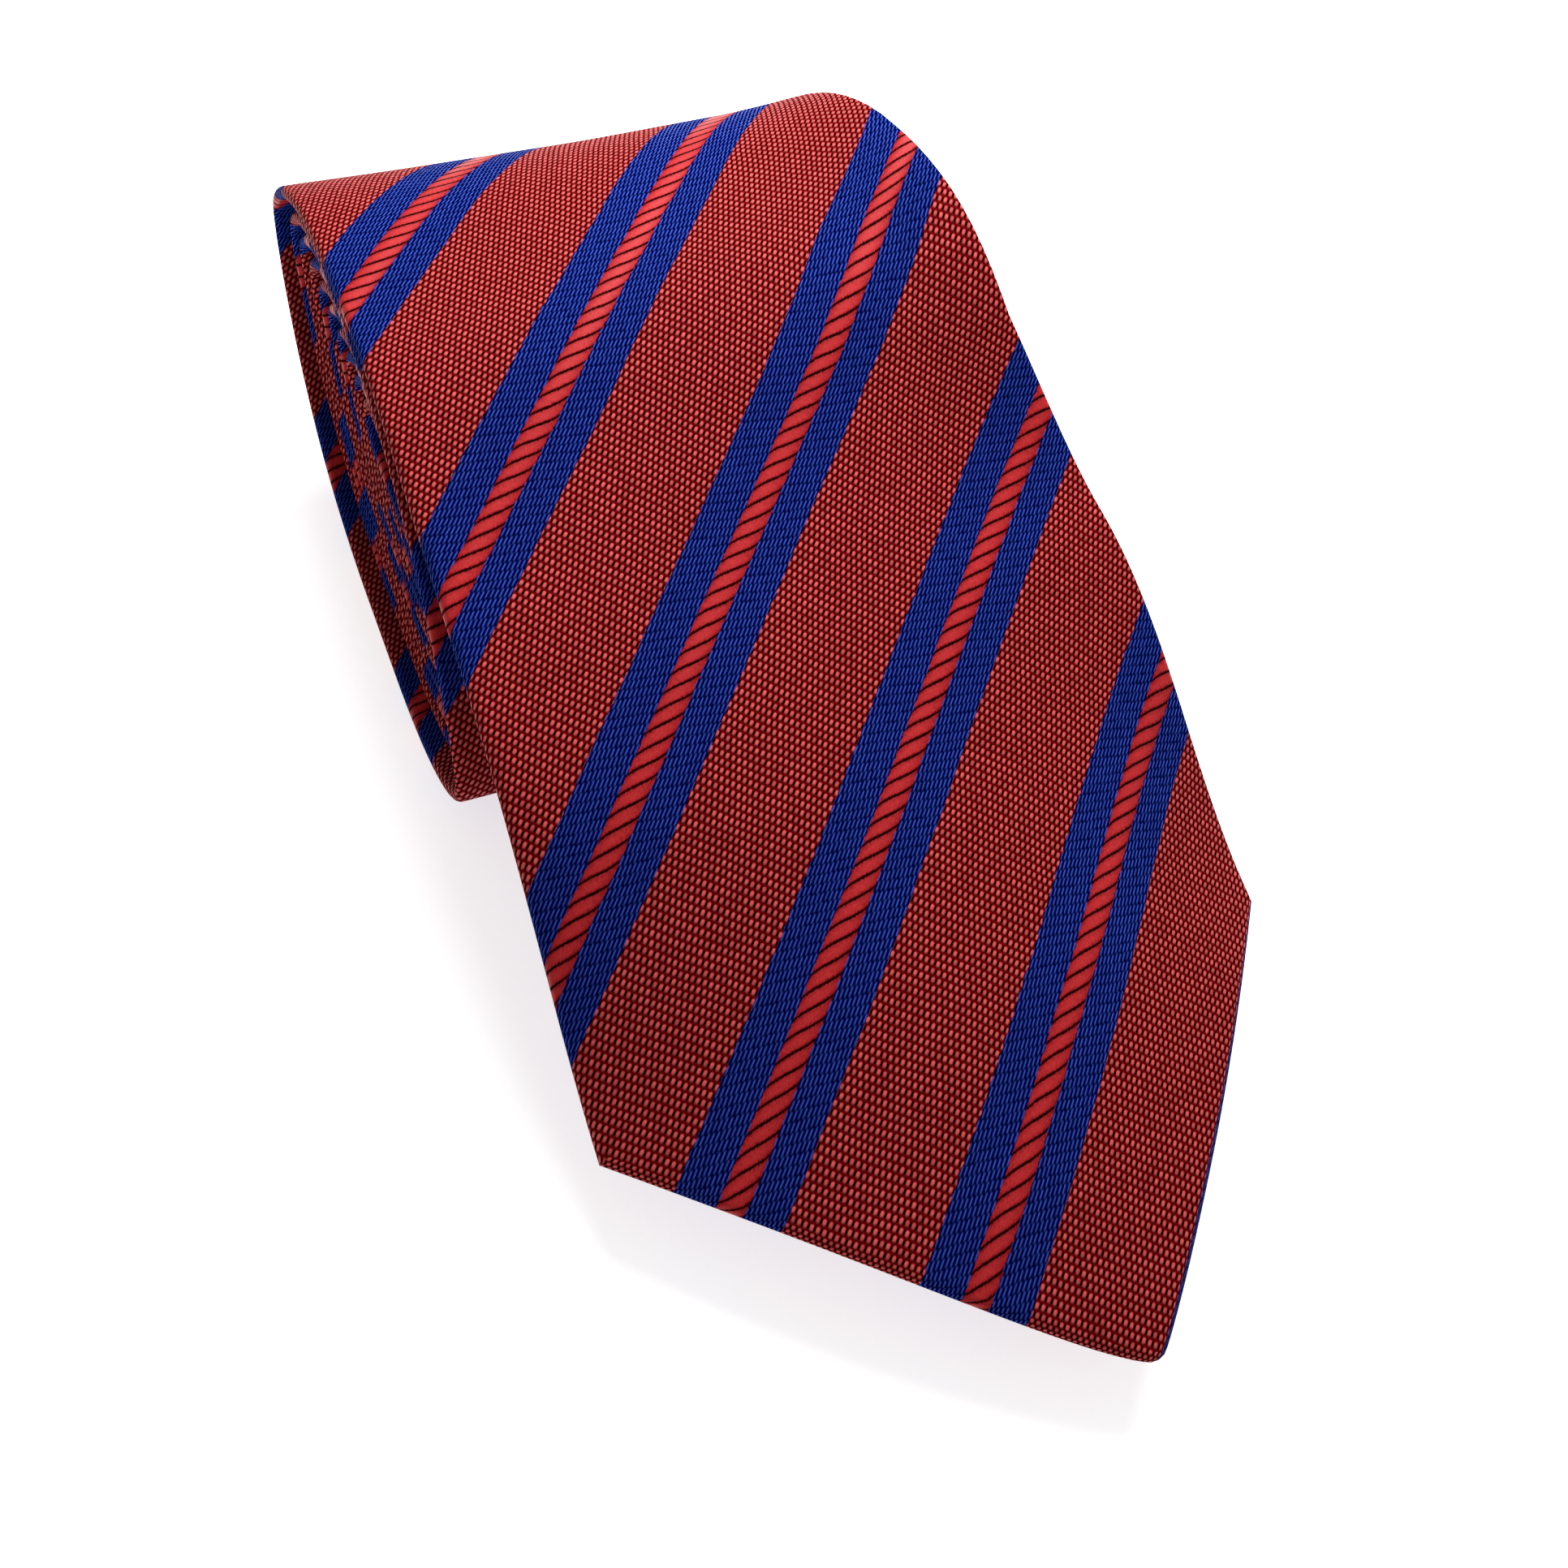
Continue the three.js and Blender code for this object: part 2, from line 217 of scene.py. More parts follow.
def roll_path():
    """Stations round the roll: distance along the tie, the middle surface (y, z) and its normal (y, z)."""
    start = math.pi / 2 + LAP_SLOPE
    rows = []

    def push(angle, side, c):
        drop = radius_drop(c, (start - angle) / (2 * math.pi))
        a = OVAL * oval_share(c)
        h = c + a * math.cos(2 * (angle - OVAL_TILT))
        slope = drop - 2 * a * math.sin(2 * (angle - OVAL_TILT))
        ny, nz = math.cos(angle), math.sin(angle)
        y = h * ny - slope * nz + side * FLAT / 2
        z = h * nz + slope * ny + ROLL_HEIGHT / 2
        if not rows:
            rows.append((LAP_LENGTH, y, z, ny, nz))
            return
        p0, y0, z0 = rows[-1][:3]
        length = math.hypot(y - y0, z - z0)
        parts = FLAT_STEPS if length > FLAT / 2 else 1
        for k in range(1, parts + 1):
            f = k / parts
            rows.append((p0 + f * length, y0 + f * (y - y0), z0 + f * (z - z0), ny, nz))

    c = MEAN_RADIUS - HALF_ROLL
    for k in range(RIDGE_STEPS + 1):
        push(start - k * LAP_SLOPE / RIDGE_STEPS, -1, c)
    previous, top, side = start, math.pi / 2, 1
    while rows[-1][0] < TIE_LENGTH:
        for k in range(round(math.pi / TURN_STEP) + 1):
            angle = top - k * TURN_STEP
            c -= radius_drop(c, (start - angle) / (2 * math.pi)) * (previous - angle)
            previous = angle
            push(angle, side, c)
        top -= math.pi
        side = -side
    return np.array(rows)


PATH = roll_path()
LAP_END = PATH[0]
BACK_P = PATH[np.argmax(PATH[:, 1]), 0]


def arch(x, p):
    """The front blade is arched across its width near the tip, and leans down to the right."""
    s, t = to_cloth(x, p)
    share = t / LEFT_HALF
    return -(CROWN * share * share + CROWN_LEAN * share) * (1 - smooth(s, CROWN_FULL, CROWN_GONE))


def shoulder(x, p):
    """Over the ridge the outermost turn stands off a little towards its right edge."""
    share = np.clip(x / right_edge(p), 0, 1) ** SHOULDER_POWER
    rise = SHOULDER * share + HUMP * (1 - smooth(right_edge(p) - x, 0, HUMP_WIDTH))
    return rise * smooth(p, SHOULDER_START, SHOULDER_PEAK) * (1 - smooth(p, SHOULDER_PEAK, SHOULDER_END))


def ripple(x, p):
    """The faint unevenness of soft cloth over its interlining."""
    long_wave = np.sin(p / 9.7 + 0.9 * np.sin(x / 17)) * np.cos(x / 13.1 - p / 31)
    short_wave = np.sin(x / 4.9 + 1.7 * np.sin(p / 11)) * np.sin(p / 6.3 + x / 23)
    return RIPPLE_LONG * long_wave + RIPPLE_SHORT * short_wave


def place(x, p, n):
    """Points on the finished tie, in metres, for points of the flat tie in millimetres."""
    x, p, n = np.broadcast_arrays(np.asarray(x, float), np.asarray(p, float), np.asarray(n, float))
    y, z, ny, nz = (np.interp(p, PATH[:, 0], PATH[:, k]) for k in range(1, 5))
    on_lap = p < LAP_LENGTH
    back = np.where(on_lap, LAP_LENGTH - p, 0)
    lap_y, lap_z = -math.sin(LAP_SLOPE), math.cos(LAP_SLOPE)
    height = n + np.where(on_lap, arch(x, p), 0) + shoulder(x, p)
    y = np.where(on_lap, LAP_END[1] - back * lap_z + height * lap_y, y + height * ny)
    z = np.where(on_lap, LAP_END[2] + back * lap_y + height * lap_z, z + height * nz)
    return np.stack([x, y, z], axis=-1) * MM + ORIGIN


# The frame's origin is under the middle of the tie's box, and the flat tie's is at its left edge.
ORIGIN = np.zeros(3)
TIP_TOP = place(*from_cloth(0, 0), LAP_TOP)
LOWEST = (PATH[:, 2] + HALF_ROLL * PATH[:, 4]).min() * MM
ORIGIN = np.array([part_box("front_blade_lap")[0].x, CAD_LOW.y - TIP_TOP[1], CAD_LOW.z - LOWEST])


# ---- meshes ----

def mesh_piece(name, points, faces, uvs, material):
    """An object of those faces. uvs holds each face's corners' places on the cloth, in millimetres."""
    mesh = bpy.data.meshes.new(name)
    mesh.from_pydata(points.tolist(), [], faces)
    layer = mesh.uv_layers.new(name="cloth")
    flat = np.array([corner for face in uvs for corner in face], np.float32)
    layer.data.foreach_set("uv", flat.ravel())
    mesh.shade_smooth()
    mesh.materials.append(material)
    piece = bpy.data.objects.new(name, mesh)
    bpy.context.scene.collection.objects.link(piece)
    return piece


def thicken(piece, thickness, offset=-1):
    """Gives a sheet its thickness, inwards from the surface that was made."""
    solid = piece.modifiers.new("thickness", "SOLIDIFY")
    solid.thickness = thickness * MM
    solid.offset = offset
    solid.use_quality_normals = True
    return piece


def woven(s, t):
    """Places on the cloth along its stripes: u across a stripe and v along it."""
    return np.stack([(s - t) / math.sqrt(2), (s + t) / math.sqrt(2)], axis=-1)


def grid_faces(rows, columns, flip=False):
    """The four-sided faces of a grid of points, row by row."""
    faces = []
    for i in range(rows - 1):
        for j in range(columns - 1):
            a = i * columns + j
            face = (a, a + 1, a + columns + 1, a + columns)
            faces.append(face[::-1] if flip else face)
    return faces


def grid_piece(name, x, p, n, uv, material, flip=False):
    """A piece from a grid of points on the flat tie, and their places on the cloth."""
    rows, columns = x.shape
    points = place(x, p, n).reshape(-1, 3)
    faces = grid_faces(rows, columns, flip)
    spots = uv.reshape(-1, 2)
    return mesh_piece(name, points, faces, [[spots[i] for i in face] for face in faces], material)


def stations(start, end):
    """Distances along the tie from start to end, at the roll's own stations."""
    inner = PATH[(PATH[:, 0] > start + LEAST_STEP) & (PATH[:, 0] < end - LEAST_STEP), 0]
    return np.concatenate([[start], inner, [end]])


def top_shares():
    """Where the columns of the face side lie, from its left edge to its right."""
    return np.linspace(0, 1, TOP_COLUMNS + 1)


def arc_angles():
    """The steps of a half turn round a fold."""
    return np.linspace(0, math.pi, ARC_STEPS + 1)[1:]


def flap_shares():
    """How far a back flap's columns are from the fold towards its own edge."""
    return np.linspace(0, 1, FLAP_STEPS + 1)[1:]


def edge_turn(share, length):
    """How far a flap's own edge turns in towards the interlining, near its end."""
    left = np.maximum(1 - share, 0) * length
    k = np.clip(1 - left / TURNED_WIDTH, 0, 1)
    return TURNED_EDGE * k * k


def tube(name, start, end, material, cloth_shift=(0, 0)):
    """A length of the folded cloth on the roll: the face side, a round fold at each edge and two flaps."""
    p = stations(start, end)[:, None]
    left, right = edges(p, 0)
    radius = np.minimum(HALF_ROLL, (right - left) / 2 * POINT_FOLD_SHARE)
    middle = (left + right) / 2
    face = top_shares()[None, :]
    fold_left, fold_right = left + radius, right - radius
    x_face = fold_left + face * (fold_right - fold_left)
    angle = arc_angles()[None, :]
    share = flap_shares()[None, :]
    to_left, to_right = middle - FLAP_GAP - fold_left, middle + FLAP_GAP - fold_right
    x_left = np.concatenate([fold_left - radius * np.sin(angle), fold_left + share * to_left], 1)
    x_right = np.concatenate([fold_right + radius * np.sin(angle), fold_right + share * to_right], 1)
    turned_in = edge_turn(share, (fold_right - fold_left) / 2) * np.minimum(1, radius / HALF_ROLL)
    n_side = np.concatenate([radius * np.cos(angle), -radius + turned_in], 1)
    run = np.concatenate([radius * angle, radius * math.pi + share * (middle - fold_left)], 1)
    x = np.concatenate([x_left[:, ::-1], x_face, x_right], 1)
    n = np.concatenate([n_side[:, ::-1], radius + 0 * x_face, n_side], 1)
    unfolded = np.concatenate([(fold_left - run)[:, ::-1], x_face, fold_right + run], 1)
    n = n + ripple(unfolded, p)
    s, t = to_cloth(unfolded, p + 0 * unfolded)
    uv = woven(s + cloth_shift[0], t + cloth_shift[1])
    return grid_piece(name, x, p + 0 * x, n, uv, material)


# ---- the front blade ----

def tip_slope(t):
    """How steeply the tip's edge at t runs up the cloth, from the apex to its side corner."""
    return np.where(t < APEX_T, 1, RIGHT_HALF / (RIGHT_HALF - APEX_T))


def tip_line(t, inset):
    """How far along the cloth the tip's edges lie at t, a distance inside them. The tip is a little blunt."""
    beside = t - APEX_T
    left = (APEX_T + APEX_LIFT) * np.exp(-np.abs(beside) / LIFT_REACH_LEFT) - APEX_T
    right = APEX_LIFT * np.exp(-np.abs(beside) / LIFT_REACH_RIGHT)
    lift = np.where(beside < 0, left, right)
    return tip_slope(t) * np.hypot(beside, TIP_ROUNDING) + lift + inset * math.sqrt(2)


def blade_grid(inset, end, rows, columns):
    """A grid over the front blade, from the tip's edges to p = end, a distance inside its edges."""
    a = np.linspace(-1, 1, columns + 1)[None, :]
    crowded = np.abs(a) ** TIP_CROWDING
    t = np.where(a < 0, inset - LEFT_HALF, RIGHT_HALF - inset) * crowded + APEX_T * (1 - crowded)
    tip_x, tip_p = from_cloth(tip_line(t, inset), t)
    run = np.linspace(0, 1, rows + 1)[:, None]
    p = tip_p + run * (end - tip_p)
    widest = from_cloth(RIGHT_HALF - inset + inset * math.sqrt(2), RIGHT_HALF - inset)
    right = np.where(p < widest[1], widest[0], right_edge(np.maximum(p, RIGHT_CORNER[1])) - inset)
    right = np.minimum(right, right_edge(np.maximum(p, RIGHT_CORNER[1])) - inset)
    tip_share = (tip_x - inset) / (right - inset)
    share = tip_share + run * ((a + 1) / 2 - tip_share)
    return inset + share * (right - inset), p


def bottom_height(p):
    """The back of the tie: thicker on the lap, where the tipping and the hems lie, than on the roll."""
    return LAP_BOTTOM + (-HALF_ROLL - LAP_BOTTOM) * smooth(p, TIPPING_END, LAP_LENGTH)


def kite_side(share, left):
    """A point of the kite-shaped opening behind the tip, from its side corner up to where the flaps meet."""
    side = -KITE_HALF_WIDTH if left else KITE_HALF_WIDTH
    corner_s = HEM * math.sqrt(2) + KITE_HALF_WIDTH
    return from_cloth(corner_s + share * (FLAP_MEETING - corner_s), side * (1 - share))


def kite_foot(t_share):
    """A point of the hems' edges, across the opening's foot."""
    t = t_share * KITE_HALF_WIDTH
    return from_cloth(tip_line(t, HEM), t)


def inner_point(x, p, left):
    """Where the flap that is folded over at (x, p) has its own edge."""
    corner_p = (LEFT_CORNER if left else RIGHT_CORNER)[1]
    gap = -FLAP_GAP if left else FLAP_GAP
    if p < FLAP_SPLIT:
        return kite_side(min(max((p - corner_p) / (FLAP_SPLIT - corner_p), 0), 1), left)
    if p < LAP_LENGTH:
        meeting = from_cloth(FLAP_MEETING, 0)[1]
        p = meeting + (p - FLAP_SPLIT) / (LAP_LENGTH - FLAP_SPLIT) * (LAP_LENGTH - meeting)
    return (left_edge(p) + right_edge(p)) / 2 + gap, p


def front_blade(name, material):
    """The free front blade and the cloth over the ridge, to the back of the roll, as one folded panel."""
    radius = (LAP_TOP - LAP_BOTTOM) / 2
    lap_x, lap_p = blade_grid(radius, LAP_LENGTH, LAP_ROWS, TOP_COLUMNS)
    roll_p = stations(LAP_LENGTH, BACK_P)[1:, None]
    left, right = edges(roll_p, 0)
    ease = smooth(roll_p, LAP_LENGTH, LAP_LENGTH + THINNING)
    inset = radius + (HALF_ROLL - radius) * ease
    face = top_shares()[None, :]
    roll_x = left + inset + face * (right - left - 2 * inset)
    x = np.concatenate([lap_x, roll_x])
    p = np.concatenate([lap_p, roll_p + 0 * roll_x])
    rows, columns = x.shape
    n = LAP_TOP + ripple(x, p)
    spots = woven(*to_cloth(x, p))
    points = [place(x, p, n).reshape(-1, 3)]
    faces = grid_faces(rows, columns)
    flat_spots = spots.reshape(-1, 2)
    uvs = [[flat_spots[i] for i in corners] for corners in faces]

    # The boundary from the roll down the left edge, round the tip and up the right edge.
    last = columns - 1
    boundary = [(i, 0) for i in range(rows - 1, 0, -1)]
    left_count = len(boundary)
    boundary += [(0, j) for j in range(columns)]
    boundary += [(i, last) for i in range(1, rows)]
    index = np.array([i * columns + j for i, j in boundary])
    bx, bp = x.ravel()[index], p.ravel()[index]
    bs, bt = to_cloth(bx, bp)
    count = len(boundary)
    tip = np.arange(left_count, left_count + columns)
    beside = bt[tip] - APEX_T
    tip_across = tip_slope(bt[tip]) * beside / np.hypot(beside, TIP_ROUNDING)
    tip_normal = np.stack([-np.ones(columns), tip_across], 1)
    tip_normal /= np.linalg.norm(tip_normal, axis=1)[:, None]
    skew_c, skew_d = math.cos(SKEW), math.sin(SKEW)
    left_normal = np.array([skew_d, -skew_c])
    right_normal = np.array([-skew_d, skew_c])

    def normal_of(k, side):
        if side == "tip":
            return tip_normal[k - left_count]
        return left_normal if side == "left" else right_normal

    def side_of(k):
        """The side that the stretch from boundary point k to k + 1 belongs to."""
        if k < left_count:
            return "left"
        return "tip" if k < left_count + last else "right"

    outward = np.zeros((count, 2))
    for k in range(count):
        before, after = side_of(max(k - 1, 0)), side_of(min(k, count - 2))
        one, two = normal_of(k, before), normal_of(k, after)
        outward[k] = (one + two) / (1 + one @ two)
    inner = []
    for k in range(count):
        side = "tip" if k in (left_count, left_count + last) else side_of(min(k, count - 2))
        if k == left_count + last:
            inner.append(kite_foot(1))
        elif side == "tip":
            inner.append(kite_foot(-1 + 2 * (k - left_count) / last))
        else:
            inner.append(inner_point(bx[k], bp[k], side == "left"))
    inner_s, inner_t = to_cloth(*np.array(inner).T)

    # Rings from the face side round the fold, then over the back to the flap's own edge.
    local_radius = np.where(bp < LAP_LENGTH, radius, radius + (HALF_ROLL - radius)
                            * smooth(bp, LAP_LENGTH, LAP_LENGTH + THINNING))
    rings = [(bs, bt, np.zeros(count), LAP_TOP + 0 * bs)]
    for angle in arc_angles():
        reach = local_radius * math.sin(angle)
        s, t = bs + outward[:, 0] * reach, bt + outward[:, 1] * reach
        height = LAP_TOP - local_radius * (1 - math.cos(angle))
        rings.append((s, t, local_radius * angle, height))
    flap_length = np.hypot(inner_s - bs, inner_t - bt)
    for share in flap_shares():
        s, t = bs + share * (inner_s - bs), bt + share * (inner_t - bt)
        height = bottom_height(from_cloth(s, t)[1]) + edge_turn(share, flap_length)
        rings.append((s, t, local_radius * math.pi, height))

    base = rows * columns
    for s, t, _, height in rings[1:]:
        rx, rp = from_cloth(s, t)
        points.append(place(rx, rp, height + ripple(rx, rp)))
    ring_index = [index] + [base + k * count + np.arange(count) for k in range(len(rings) - 1)]

    def spot(r, k, side):
        """The place on the cloth of ring point k, with the back flap unfolded about its fold line."""
        s, t, run, _ = rings[r]
        normal = normal_of(k, side)
        taken_in = run[k] * (TIP_TAKE_IN if side == "tip" else 1)
        if r <= ARC_STEPS:
            return woven(bs[k] + normal[0] * taken_in, bt[k] + normal[1] * taken_in)
        away = np.array([s[k] - bs[k], t[k] - bt[k]])
        depth = -away @ normal
        unfolded = away + 2 * depth * normal + normal * taken_in
        return woven(bs[k] + unfolded[0], bt[k] + unfolded[1])

    for r in range(len(rings) - 1):
        for k in range(count - 1):
            side = side_of(k)
            corners = ((r, k), (r, k + 1), (r + 1, k + 1), (r + 1, k))
            faces.append(tuple(int(ring_index[a][b]) for a, b in corners)[::-1])
            uvs.append([spot(a, b, side) for a, b in corners][::-1])
    return mesh_piece(name, np.concatenate(points), faces, uvs, material)


def tipping_sheet():
    """The lining behind the front blade's tip."""
    x, p = blade_grid(TIPPING_INSET, TIPPING_END, rows=30, columns=24)
    n = TIPPING_TOP + ripple(x, p)
    return grid_piece("front_tipping_satin", x, p, n, woven(*to_cloth(x, p)), CLOTH_LINING)


def rolled_sheet(name, start, end, columns=16):
    """A stretch of the interlining inside the cloth on the roll."""
    p = stations(start, end)[:, None]
    left, right = edges(p, ROLLED_INNER_INSET)
    x = left + np.linspace(0, 1, columns + 1)[None, :] * (right - left)
    p = p + 0 * x
    return grid_piece(name, x, p, INNER_TOP + ripple(x, p), woven(*to_cloth(x, p)), CLOTH_INTERLINING)


# ---- materials ----

class Field:
    """A number that a material works out at each point, built up with ordinary arithmetic."""

    def __init__(self, tree, socket):
        self.tree, self.socket = tree, socket

    def _math(self, operation, *others):
        node = self.tree.nodes.new("ShaderNodeMath")
        node.operation = operation
        for slot, value in zip(node.inputs, (self, *others)):
            if isinstance(value, Field):
                self.tree.links.new(value.socket, slot)
            else:
                slot.default_value = value
        return Field(self.tree, node.outputs[0])

    def __add__(self, other):
        return self._math("ADD", other)

    def __sub__(self, other):
        return self._math("SUBTRACT", other)

    def __mul__(self, other):
        return self._math("MULTIPLY", other)

    def __truediv__(self, other):
        return self._math("DIVIDE", other)

    def less_from(self, whole):
        return self * -1 + whole

    def floor(self):
        return self._math("FLOOR")

    def fract(self):
        return self._math("FRACT")

    def magnitude(self):
        return self._math("ABSOLUTE")

    def square(self):
        return self * self

    def wave(self):
        """A sine with a period of 1."""
        return (self * (2 * math.pi))._math("SINE")

    def least(self, other):
        return self._math("MINIMUM", other)

    def most(self, other):
        return self._math("MAXIMUM", other)

    def rise(self, low, high):
        """0 below low, 1 above high, smooth between them."""
        node = self.tree.nodes.new("ShaderNodeMapRange")
        node.interpolation_type = "SMOOTHSTEP"
        self.tree.links.new(self.socket, node.inputs["Value"])
        node.inputs["From Min"].default_value = low
        node.inputs["From Max"].default_value = high
        return Field(self.tree, node.outputs["Result"])

    def fall(self, low, high):
        return self.rise(low, high).less_from(1)

    def mix(self, zero, one):
        """A number that is zero where this is 0 and one where this is 1."""
        return one * self + zero * self.less_from(1)

    def colours(self, zero, one):
        """A colour socket that is the first colour where this is 0 and the second where it is 1."""
        node = self.tree.nodes.new("ShaderNodeMix")
        node.data_type = "RGBA"
        self.tree.links.new(self.socket, node.inputs["Factor"])
        for slot, value in ((node.inputs[6], zero), (node.inputs[7], one)):
            if isinstance(value, bpy.types.NodeSocket):
                self.tree.links.new(value, slot)
            else:
                slot.default_value = (*value, 1)
        return node.outputs[2]


def srgb(red, green, blue):
    """A colour as a screen shows it, from 0 to 255, as the shader's own light values."""
    def linear(value):
        value /= 255
        return value / 12.92 if value <= 0.04045 else ((value + 0.055) / 1.055) ** 2.4
    return tuple(linear(value) for value in (red, green, blue))


def vector(tree, x, y, z=0.0):
    """A vector socket of two or three numbers, each a Field or a plain number."""
    node = tree.nodes.new("ShaderNodeCombineXYZ")
    for slot, value in zip(node.inputs, (x, y, z)):
        if isinstance(value, Field):
            tree.links.new(value.socket, slot)
        else:
            slot.default_value = value
    return node.outputs[0]


def noise(tree, at, scale, detail=2.0):
    """Soft noise from 0 to 1, about 0.5 on average."""
    node = tree.nodes.new("ShaderNodeTexNoise")
    tree.links.new(at, node.inputs["Vector"])
    node.inputs["Scale"].default_value = scale
    node.inputs["Detail"].default_value = detail
    return Field(tree, node.outputs["Fac"])


def chance(tree, x, y):
    """A number from 0 to 1 that differs from one whole (x, y) to the next."""
    node = tree.nodes.new("ShaderNodeTexWhiteNoise")
    node.noise_dimensions = "2D"
    tree.links.new(vector(tree, x, y), node.inputs["Vector"])
    return Field(tree, node.outputs["Value"])


def new_material(name, roughness, specular, sheen=0.0):
    """A new material, its node tree and its shader."""
    material = bpy.data.materials.new(name)
    material.use_nodes = True
    tree = material.node_tree
    shader = next(node for node in tree.nodes if node.type == "BSDF_PRINCIPLED")
    shader.inputs["Roughness"].default_value = roughness
    shader.inputs["Specular IOR Level"].default_value = specular
    shader.inputs["Sheen Weight"].default_value = sheen
    shader.inputs["Sheen Roughness"].default_value = 0.5
    return material, tree, shader


def cloth_place(tree):
    """The two coordinates of the place on the cloth, in millimetres."""
    node = tree.nodes.new("ShaderNodeUVMap")
    node.uv_map = "cloth"
    split = tree.nodes.new("ShaderNodeSeparateXYZ")
    tree.links.new(node.outputs["UV"], split.inputs[0])
    return Field(tree, split.outputs[0]), Field(tree, split.outputs[1])


def finish_surface(tree, shader, colour, height, depth, roughness=None):
    """Joins colour, relief of a depth in millimetres and any varying roughness to the shader."""
    tree.links.new(colour, shader.inputs["Base Color"])
    bump = tree.nodes.new("ShaderNodeBump")
    bump.inputs["Strength"].default_value = 1.0
    bump.inputs["Distance"].default_value = depth * MM
    tree.links.new(height.socket, bump.inputs["Height"])
    tree.links.new(bump.outputs["Normal"], shader.inputs["Normal"])
    if roughness is not None:
        tree.links.new(roughness.socket, shader.inputs["Roughness"])


# The woven pattern, in millimetres across the stripes.
REPEAT = 27.2
FIRST_STRIPE = 15.27
BLUE_END = 4.3
CORD_END = 7.35
STRIPE_END = 12.0

# The ground's rows of raised picks, the satin's floats and the cord's strands.
PICK_ACROSS = 0.70
PICK_ALONG = 0.98
PICK_HALF_WIDTH = 0.28
PICK_HALF_LENGTH = 0.42
GAP_HALF_WIDTH = 0.15
GAP_HALF_LENGTH = 0.36
SATIN_THREAD = 0.224
SATIN_REPEAT = 2.61
SATIN_STEP = 1.15
SATIN_FLOAT = (0.28, 0.78)
CORD_PITCH = 2.62
CORD_SLANT = 1.18
CORD_THREAD = 0.13
CORD_BEND = 0.35
CORD_LINE_EDGE = (0.1, 0.4)

# How far the pattern wanders, its edges step in and out, its relief stands up, and how much it shines.
WANDER_ACROSS = 0.35
WANDER_ALONG = 0.8
JAG = 0.34
EDGE_SOFTNESS = 0.035
RELIEF = 0.16
GLOSS = 0.12
GLOSS_FROM_HEIGHT = 0.35

# The pick colour is the red thread with a painted sheen; the back colour is painted shade off the picks, and
# the gap colour deeper painted shade in the gaps.
RED_PICK_SHEEN = srgb(200, 80, 78)
RED_BACK_SHADE = srgb(88, 2, 4)
RED_GAP_SHADE = srgb(4, 0, 0)
RED_GLOSS = (1.0, 0.16, 0.16)
# The float colour is the blue thread with a painted sheen; the back colour is painted shade between the
# floats.
BLUE_FLOAT_SHEEN = srgb(48, 74, 176)
BLUE_BACK_SHADE = srgb(0, 2, 48)
BLUE_GLOSS = (0.12, 0.25, 1.0)
CORD_RED = srgb(180, 45, 48)
CORD_SHADE = srgb(122, 14, 19)
CORD_LINE = srgb(24, 1, 2)


def ground_weave(tree, u, v):
    """The red ground: rows of raised oval picks, each row half a pick aside, with gaps between them. Each
    pick's crown is painted lighter as a sheen, and the ground off the picks and in the gaps is painted darker
    as shade.
    """
    row = (v / PICK_ALONG).floor()
    across = u / PICK_ACROSS + row * 0.5
    column = across.floor()
    fate = chance(tree, column, row)
    du = across.fract() - 0.5
    dv = (v / PICK_ALONG).fract() - 0.5
    pick_u = du * (PICK_ACROSS / PICK_HALF_WIDTH)
    pick_v = dv * (PICK_ALONG / PICK_HALF_LENGTH)
    pick = (pick_u.square() + pick_v.square()).fall(0.0, 1.25)
    gap_u = (du.magnitude() - 0.5) * (PICK_ACROSS / GAP_HALF_WIDTH)
    gap_v = dv * (PICK_ALONG / GAP_HALF_LENGTH)
    gap = (gap_u.square() + gap_v.square()).fall(0.2, 1.3)
    strands = noise(tree, vector(tree, u * 11, v * 2.2), 1.0, 1.0)
    # Painted sheen on each pick's crown, painted shade off the picks and in the gaps.
    lit = pick * (fate * 0.5 + strands * 0.6 + 0.38)
    colour = lit.colours(RED_BACK_SHADE, RED_PICK_SHEEN)
    colour = (gap * 0.95).colours(colour, RED_GAP_SHADE)
    return colour, pick * 0.8 - gap * 0.55 + 0.4


def satin_weave(tree, u, v):
    """The blue satin: floats of one thread each, stepped from thread to thread. Each float is painted lighter
    along its crown as a sheen, and darker between floats as shade.
    """
    thread = (u / SATIN_THREAD).floor()
    crown = ((u / SATIN_THREAD).fract() * 2 - 1).square().less_from(1)
    fate = chance(tree, thread, (v / SATIN_REPEAT).floor())
    along = ((v - thread * SATIN_STEP) / SATIN_REPEAT + fate * 0.07).fract() - 0.5
    floated = (along.magnitude() * SATIN_REPEAT).fall(*SATIN_FLOAT)
    # Painted sheen along each float's crown, painted shade between floats.
    lit = floated * (crown * 0.75 + 0.25) * (fate * 0.35 + 0.75)
    return lit.colours(BLUE_BACK_SHADE, BLUE_FLOAT_SHEEN), lit * 0.6 + 0.1


def cord_weave(tree, u, v, across):
    """A twisted cord: bright slanting strands parted by dark lines. across runs from 0 to 1 over it."""
    thread = (u / CORD_THREAD).floor() * CORD_THREAD
    bend = (across * 2 - 1) * (across * 2 - 1).square() * CORD_BEND
    along = ((v + thread * CORD_SLANT + bend) / CORD_PITCH).fract()
    middle = (along - 0.5).magnitude() * CORD_PITCH
    fibre = noise(tree, vector(tree, u * 9, v * 1.8), 1.0, 2.0)
    line = (middle - (fibre - 0.5) * 0.5).fall(*CORD_LINE_EDGE)
    round_off = (across * 2 - 1).square()
    shade = (fibre.rise(0.3, 0.75) * 0.55 + round_off * 0.45 + middle.fall(0.3, 1.0) * 0.3).least(1.0)
    colour = shade.colours(CORD_RED, CORD_SHADE)
    colour = line.colours(colour, CORD_LINE)
    height = (round_off.less_from(1) * 0.9 + 0.3) * (line * 0.75).less_from(1) + fibre * 0.08
    return colour, height


